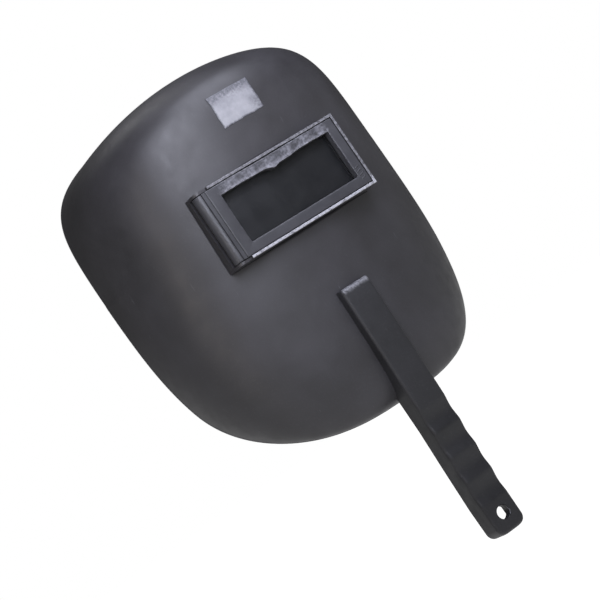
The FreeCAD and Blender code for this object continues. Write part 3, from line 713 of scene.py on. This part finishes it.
def hanging_boss():
    """Ring round the hanging hole inside the channel: a square profile turned about the hole."""
    profile = np.array([[HOLE_RADIUS, TAB_Y + 2.5], [HOLE_RADIUS, TAB_BACK - 0.3],
                        [HOLE_RADIUS + 0.3, TAB_BACK], [HOLE_RADIUS + 2.9, TAB_BACK],
                        [HOLE_RADIUS + 3.2, TAB_BACK - 0.3], [HOLE_RADIUS + 3.2, TAB_Y + 2.5]])
    turn = np.linspace(0, 2 * np.pi, 64, endpoint=False)
    x = profile[:, :1] * np.cos(turn)
    points = np.stack([x, np.broadcast_to(profile[:, 1:], x.shape), HOLE_Z + profile[:, :1] * np.sin(turn)],
                      axis=-1)
    return points, [grid_faces(6, 64, close_rows=True, close_columns=True)]


def cross_rib(z):
    """Stiffening rib across the handle's channel."""
    inner = HANDLE_HALF - HANDLE_SIDE + 0.5
    height = np.array([z])
    front = handle_front(height)[0] + HANDLE_WEB - 0.5
    return box_grid((-inner, front, z - 1.0), (inner, handle_back(height)[0] - 1.5, z + 1.0))


def label_surface():
    """Label: a grid over the forehead in x and z, lifted off the skin, closed by a second grid below it."""
    across, up = np.meshgrid(np.linspace(0, 1, 64), np.linspace(0, 1, 48), indexing="ij")
    x = LABEL_SPAN[0] + (LABEL_SPAN[1] - LABEL_SPAN[0]) * across
    low = LABEL_RISE[0] + 0.45 * (1 + ripple(x, 16, 4)) * np.clip((x - LABEL_SPAN[0]) / 8, 0, 1)
    z = low + (LABEL_RISE[1] - low) * up
    x = x + 0.35 * ripple(z, 19, 2) * (2 * across - 1) ** 4 * np.sign(across - 0.5)
    angle, reach = reach_at(x, z)
    point, normal, _ = skin_frame(angle, reach)
    corner = bell(across, 0, 0.12) * bell(up, 1, 0.2)
    front = point - normal * (LABEL_LIFT + LABEL_THICKNESS + 0.5 * corner)[..., None]
    back = point - normal * (LABEL_LIFT + 0.35 * corner)[..., None]
    rows, columns = across.shape
    ring_i = np.concatenate([np.arange(rows), np.full(columns - 2, rows - 1), np.arange(rows)[::-1],
                             np.zeros(columns - 2, int)])
    ring_j = np.concatenate([np.zeros(rows, int), np.arange(1, columns - 1), np.full(rows, columns - 1),
                             np.arange(1, columns - 1)[::-1]])
    ring_ids = ring_i * columns + ring_j
    following = np.roll(ring_ids, -1)
    size = rows * columns
    sides = np.stack([ring_ids, ring_ids + size, following + size, following], axis=-1)
    sheet = grid_faces(rows, columns)
    faces = [sheet, sheet[:, ::-1] + size, sides]
    edge = np.maximum.reduce([bell(across, 0, 0.03), bell(across, 1, 0.05), bell(up, 0, 0.05),
                              1.15 * bell(up, 1.05, 0.3), 0.7 * bell(across, 1, 0.25) * bell(up, 0.2, 0.3)])
    return np.stack([front, back]).reshape(-1, 3), faces, np.concatenate([edge.ravel(), edge.ravel()])


def join(piece, other):
    """Adds the other piece's mesh to the first, as its own closed shell."""
    work = bmesh.new()
    work.from_mesh(piece.data)
    work.from_mesh(other.data)
    work.to_mesh(piece.data)
    work.free()
    bpy.data.objects.remove(other)


# ---- stage ----------------------------------------------------------------------------------------
FLOOR_DROP = 0.35
FLOOR_HALF = 30.0
FLOOR_LIT = 0.6         # glow of the floor towards the object
FLOOR_SEEN = 1.0        # and as the camera sees it
AMBIENT = 0.1
CAMERA_PLACE = (-0.69744, -1.31881, -0.15194)    # from the window's middle, in metres
CAMERA_AIM = (-0.01726, 0.06141, -0.07193)
CAMERA_ROLL = -34.1
CAMERA_LENS = 121.0
# name, direction from the window to the light, side in metres, power in watts, colour
LIGHTS = (
    ("forehead_softbox", (-0.13, -0.33, 0.13), 0.25, 1.75, "#ECEFFF"),
    ("crown_softbox", (0.08, -0.2, 0.26), 0.25, 1.1, "#ECEFFF"),
    ("left_softbox", (-0.6, -0.3, 0.0), 0.25, 0.55, "#FFF6EE"),
    ("top_softbox", (0.0, 0.0, 0.45), 0.25, 0.16, "#FFFFFF"),
    ("back_softbox", (0.0, 0.8, 1.5), 0.9, 2.4, "#FFFFFF"),
)


def floor_grid():
    """Large square below the handle's tip."""
    low = in_window(z=CAD_BOX[0][2] - FLOOR_DROP)[2]
    side = FLOOR_HALF / MM
    return np.array([[[-side, -side, low], [side, -side, low]], [[-side, side, low], [side, side, low]]])


def pale_floor(name):
    """Pale matt floor, faintly mottled, lifted towards white by its own light."""
    material, tree, shader, place = start_material(
        name, {"Roughness": 0.9, "Emission Color": to_linear("#FFFFFF")})
    cloud = noise(tree, place, 400, detail=2)
    tree.links.new(blend_colour(tree, cloud, "#F4F4F2", "#FAFAF9"), shader.inputs["Base Color"])
    path = add(tree, "ShaderNodeLightPath").outputs["Is Camera Ray"]
    tree.links.new(remap(tree, path, 0, 1, FLOOR_LIT, FLOOR_SEEN), shader.inputs["Emission Strength"])
    return material


def studio_world(name, ambient):
    """Surround that looks white and lights the object with the ambient strength."""
    world = bpy.data.worlds.new(name)
    world.use_nodes = True
    tree = world.node_tree
    tree.nodes.clear()
    path = add(tree, "ShaderNodeLightPath").outputs["Is Camera Ray"]
    seen = add(tree, "ShaderNodeBackground", {"Color": to_linear("#FFFFFF"), "Strength": 1.0})
    lit = add(tree, "ShaderNodeBackground", {"Color": to_linear("#F2F2F6"), "Strength": ambient})
    mix = add(tree, "ShaderNodeMixShader", links={0: path, 1: lit.outputs[0], 2: seen.outputs[0]})
    add(tree, "ShaderNodeOutputWorld", links={"Surface": mix.outputs[0]})
    return world


def area_light(name, aim, direction, side, power, colour):
    """Square area light, turned towards its aim."""
    data = bpy.data.lights.new(name, "AREA")
    data.size = side
    data.energy = power
    data.color = to_linear(colour)[:3]
    light = bpy.data.objects.new(name, data)
    light.visible_camera = False
    light.location = aim + Vector(direction)
    light.rotation_euler = (-Vector(direction)).to_track_quat("-Z", "Y").to_euler()
    bpy.context.scene.collection.objects.link(light)
    return light


def camera():
    """Camera at the viewing angle, rolled about its axis."""
    data = bpy.data.cameras.new("camera")
    data.lens = CAMERA_LENS
    data.sensor_width = 36.0
    data.clip_start = 0.05
    data.clip_end = 200.0
    eye = bpy.data.objects.new("camera", data)
    place = Vector(WINDOW.tolist()) + Vector(CAMERA_PLACE)
    aim = Vector(CAMERA_AIM) - Vector(CAMERA_PLACE)
    roll = Matrix.Rotation(math.radians(CAMERA_ROLL), 4, "Z")
    eye.matrix_world = Matrix.Translation(place) @ aim.to_track_quat("-Z", "Y").to_matrix().to_4x4() @ roll
    bpy.context.scene.collection.objects.link(eye)
    return eye


# ---- settings -------------------------------------------------------------------------------------
class ShieldSizes(bpy.types.PropertyGroup):
    """Sizes that the drawn surfaces use, in millimetres."""
    wall: bpy.props.FloatProperty(name="Wall", description="Thickness of the shell", default=2.4,
                                  min=1, max=5)
    rim_bead: bpy.props.FloatProperty(name="Rim bead", description="Thickening of the rolled rim",
                                      default=0.3)
    columns: bpy.props.IntProperty(name="Columns", description="Grid columns round the shell", default=380)
    handle_round: bpy.props.FloatProperty(name="Handle edge", default=2.6,
                                          description="Radius of the handle's front edges")
    nick: bpy.props.FloatProperty(name="Nick", description="Depth of the dent in the bezel's top bar",
                                  default=2.6)


class ShieldColours(bpy.types.PropertyGroup):
    """Colours of the finishes, as sRGB hex values."""
    shell_dark: bpy.props.StringProperty(name="Shell dark", description="Shell plastic", default="#2C2B2D")
    shell_light: bpy.props.StringProperty(name="Shell light", description="Shell plastic",
                                          default="#353437")
    scuff: bpy.props.StringProperty(name="Scuff", description="Scuffed plastic", default="#6E6E74")
    bezel_dark: bpy.props.StringProperty(name="Bezel dark", description="Bezel plastic", default="#2F2F32")
    bezel_light: bpy.props.StringProperty(name="Bezel light", description="Bezel plastic",
                                          default="#38383C")
    bezel_worn: bpy.props.StringProperty(name="Bezel worn", description="Bare bezel plastic",
                                         default="#8C8C94")
    handle_dark: bpy.props.StringProperty(name="Handle dark", description="Handle plastic",
                                          default="#1D1D1F")
    handle_light: bpy.props.StringProperty(name="Handle light", description="Handle plastic",
                                           default="#252528")
    # Pale handle colour for scuffs and wear, and for the painted highlight on the handle's top end.
    handle_scuff_and_highlight: bpy.props.StringProperty(name="Handle worn", description="Handle plastic",
                                          default="#727277")
    label: bpy.props.StringProperty(name="Label", description="Sticker", default="#8C8C90")


def settings():
    """The scene's sizes and colours."""
    scene = bpy.context.scene
    return scene.shield_sizes, scene.shield_colours


def finish_node(name, material):
    """Gives a frame node its material and, by modifiers only, a merged and smoothly shaded surface."""
    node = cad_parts[name]
    paint(node, material)
    node.data.polygons.foreach_set("use_smooth", np.full(len(node.data.polygons), True))
    node.modifiers.new("weld", "WELD").merge_threshold = MERGE_DISTANCE
    node.modifiers.new("split", "EDGE_SPLIT").split_angle = math.radians(SPLIT_ANGLE)
    node.modifiers.new("normals", "WEIGHTED_NORMAL")


# ---- operators ------------------------------------------------------------------------------------
class SHIELD_OT_shell(bpy.types.Operator):
    """Moulded shell: outer skin, rolled rim and inner skin as one closed surface round the opening"""
    bl_idname = "shield.shell"
    bl_label = "Shell"

    def execute(self, context):
        sizes, colours = settings()
        right, left, half = BOX_RIGHT + OPENING_GAP, BOX_LEFT - OPENING_GAP, BOX_HALF + OPENING_GAP
        corner_x = np.array([right, left, left, right])
        corner_rise = np.array([half, half, -half, -half]) - POLE_Z
        corners = np.arctan2(corner_rise, corner_x / (1 - SIDE_FLARE * corner_rise)) % (2 * np.pi)
        even = np.linspace(0, 2 * np.pi, sizes.columns, endpoint=False)
        angle = np.unique(np.concatenate([even, corners]))
        start = opening_reach(angle, left, right, half)
        face_end = reach_at_depth(FACE_END_DEPTH)
        face = start + (face_end - start) * np.linspace(0, 1, FACE_ROWS)[:, None]
        depths = np.linspace(FACE_END_DEPTH, RIM_END_DEPTH, SIDE_ROWS)[1:]
        side = reach_at_depth(depths)[:, None] + 0 * angle
        reach = np.concatenate([face, side])
        point, normal, across = skin_frame(np.broadcast_to(angle, reach.shape), reach)
        inner = point + normal * sizes.wall
        bead = sizes.wall / 2 + sizes.rim_bead
        turn = np.linspace(-0.5, 0.5, LIP_ROWS)[:, None, None] * np.pi
        middle = point[-1] + normal[-1] * sizes.wall / 2
        lip = middle + normal[-1] * bead * np.sin(turn) + across[-1] * bead * np.cos(turn)
        points = np.concatenate([point[:-1], lip, inner[-2::-1]])
        wear = np.zeros(points.shape[:2])
        wear[len(point) - 1:len(point) + LIP_ROWS - 1] = 0.55
        faces = grid_faces(len(points), len(angle), close_rows=True, close_columns=True)
        shell = make_piece("face_shell", [(points, [faces])], wear=wear)
        outwards(shell)
        paint(shell, moulded_plastic("moulded_polypropylene_shell", colours.shell_dark, colours.shell_light,
                                     colours.scuff, 0.44, 0.9, worn="wear"))
        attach(shell, "shield")
        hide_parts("shell")
        return {"FINISHED"}


class SHIELD_OT_bezel(bpy.types.Operator):
    """Hinged window bezel: a worn rectangular ring with a skirt, its hinge barrel and thumb ribs"""
    bl_idname = "shield.bezel"
    bl_label = "Bezel"

    def execute(self, context):
        sizes, colours = settings()
        points, faces, wear = bezel_ring(sizes.nick)
        barrel = barrel_surface()
        web_half = BEZEL_HALF - 0.2
        web = box_grid((BARREL_X, BEZEL_FRONT + 0.9, -web_half), (BEZEL_LEFT + 1.5, 5.2, web_half))
        ribs = [thumb_rib(i) for i in range(GRIP_RIBS)]
        parts = [(points, [faces]), barrel, web, *ribs]
        extra = vertex_count(parts[1:])
        bezel = make_piece("window_bezel", parts, wear=np.concatenate([wear.ravel(), np.full(extra, 0.06)]))
        outwards(bezel)
        sharpen(bezel)
        paint(bezel, moulded_plastic("worn_abs_bezel", colours.bezel_dark, colours.bezel_light,
                                     colours.bezel_worn, 0.42, 0.8, worn="wear"))
        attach(bezel, "bezel")
        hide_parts("front_bezel")
        return {"FINISHED"}


class SHIELD_OT_handle(bpy.types.Operator):
    """Grip handle: a rounded channel section carried down its length, with cross ribs and a hanging hole"""
    bl_idname = "shield.handle"
    bl_label = "Handle"

    def execute(self, context):
        sizes, colours = settings()
        points, faces, wear = handle_surface(sizes.handle_round)
        handle = make_piece("grip_handle", [(points, faces)], wear=wear)
        outwards(handle)
        cut(handle, hole_cutter())
        parts = [cross_rib(z) for z in RIB_HEIGHTS] + [hanging_boss()]
        fittings = make_piece("fittings", parts, wear=np.zeros(vertex_count(parts)))
        outwards(fittings)
        join(handle, fittings)
        sharpen(handle)
        paint(handle, moulded_plastic("moulded_nylon_handle", colours.handle_dark, colours.handle_light,
                                      colours.handle_scuff_and_highlight, 0.5, 0.8, worn="wear"))
        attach(handle, "shield")
        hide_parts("handle")
        return {"FINISHED"}


class SHIELD_OT_label(bpy.types.Operator):
    """Blank sticker that follows the forehead, with a ragged lower edge and a faded top"""
    bl_idname = "shield.label"
    bl_label = "Label"

    def execute(self, context):
        _, colours = settings()
        points, faces, wear = label_surface()
        label = make_piece("blank_label", [(points, faces)], wear=wear)
        outwards(label)
        paint(label, worn_label("worn_vinyl_label", colours.label, "#75757A", "#48484E"))
        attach(label, "shield")
        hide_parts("label")
        return {"FINISHED"}


class SHIELD_OT_housing(bpy.types.Operator):
    """Window housing and backing plate: kept from the frame, softly shaded, in black plastic"""
    bl_idname = "shield.housing"
    bl_label = "Housing and backing plate"

    def execute(self, context):
        _, colours = settings()
        # A2A2A8 is the scuff and wear colour; along the lower lip it is also a painted highlight.
        housing = moulded_plastic("moulded_polypropylene_housing", "#2A292B", "#333235", "#A2A2A8", 0.42,
                                  0.8, worn="front")
        backing = moulded_plastic("moulded_polypropylene_backing", colours.shell_dark, colours.shell_light,
                                  colours.scuff, 0.5, 0.9)
        for name, material in (("window_housing", housing), ("handle_backing_plate", backing)):
            finish_node(name, material)
        return {"FINISHED"}


class SHIELD_OT_glazing(bpy.types.Operator):
    """Clear cover plates and the dark filter between them"""
    bl_idname = "shield.glazing"
    bl_label = "Glazing"

    def execute(self, context):
        clear = clear_plate("clear_polycarbonate_cover")
        dark = filter_glass("shade_eleven_filter_glass", "#0C0D10", "#121316")
        plates = (("cover_plate", clear), ("inner_cover_plate", clear), ("filter_plate", dark))
        for name, material in plates:
            finish_node(name, material)
        return {"FINISHED"}


class SHIELD_OT_seals(bpy.types.Operator):
    """Rubber gaskets and the leaf springs behind the plates"""
    bl_idname = "shield.seals"
    bl_label = "Gaskets and springs"

    def execute(self, context):
        seal = rubber("die_cut_neoprene_gasket", "#161617", "#232324")
        spring = metal("blued_spring_steel", "#8C9098", "#5C6069", 0.28, 1.2)
        for name in ("front_gasket", "spacer_gasket", "rear_gasket"):
            finish_node(name, seal)
        finish_node("plate_springs", spring)
        return {"FINISHED"}


class SHIELD_OT_fasteners(bpy.types.Operator):
    """Screws, washers, brass inserts and the hinge pin"""
    bl_idname = "shield.fasteners"
    bl_label = "Fasteners"

    def execute(self, context):
        zinc = metal("zinc_plated_steel", "#C9CBC8", "#A3A59F", 0.3, 0.9)
        pin = metal("drawn_steel_pin", "#B9BCC0", "#8F9297", 0.22, 0.5)
        brass = metal("knurled_brass_insert", "#C9A65A", "#A8853E", 0.32, 0.7)
        groups = ((zinc, ("housing_screws", "housing_washers", "handle_washers", "handle_screws")),
                  (pin, ("hinge_pin",)), (brass, ("handle_inserts",)))
        for material, names in groups:
            for name in names:
                finish_node(name, material)
        return {"FINISHED"}


class SHIELD_OT_stage(bpy.types.Operator):
    """Pale floor, white surround, soft studio lights and the camera"""
    bl_idname = "shield.stage"
    bl_label = "Stage"

    def execute(self, context):
        scene = bpy.context.scene
        scene.view_settings.view_transform = "Standard"
        floor = make_piece("floor", [(floor_grid(), [grid_faces(2, 2)])], smooth=False)
        paint(floor, pale_floor("pale_studio_floor"))
        scene.world = studio_world("white_surround", AMBIENT)
        aim = Vector(WINDOW.tolist())
        for name, direction, size, power, colour in LIGHTS:
            area_light(name, aim, direction, size, power, colour)
        scene.camera = camera()
        return {"FINISHED"}


class SHIELD_PT_panel(bpy.types.Panel):
    """Sidebar panel with the settings and one button for each operator"""
    bl_label = "Welding Hand Shield"
    bl_idname = "SHIELD_PT_panel"
    bl_space_type = "VIEW_3D"
    bl_region_type = "UI"
    bl_category = "Shield"

    def draw(self, context):
        for group in settings():
            box = self.layout.box()
            for name in group.bl_rna.properties.keys():
                if name not in ("rna_type", "name"):
                    box.prop(group, name)
        for operator in OPERATORS:
            self.layout.operator(operator.bl_idname)


OPERATORS = [SHIELD_OT_shell, SHIELD_OT_housing, SHIELD_OT_bezel, SHIELD_OT_handle, SHIELD_OT_label,
             SHIELD_OT_glazing, SHIELD_OT_seals, SHIELD_OT_fasteners, SHIELD_OT_stage]
CLASSES = [ShieldSizes, ShieldColours, *OPERATORS, SHIELD_PT_panel]


def register():
    for item in CLASSES:
        bpy.utils.register_class(item)
    bpy.types.Scene.shield_sizes = bpy.props.PointerProperty(type=ShieldSizes)
    bpy.types.Scene.shield_colours = bpy.props.PointerProperty(type=ShieldColours)


def unregister():
    del bpy.types.Scene.shield_colours
    del bpy.types.Scene.shield_sizes
    for item in reversed(CLASSES):
        bpy.utils.unregister_class(item)


def main():
    register()
    for operator in OPERATORS:
        group, name = operator.bl_idname.split(".")
        getattr(getattr(bpy.ops, group), name)()


if __name__ == "__main__":
    main()
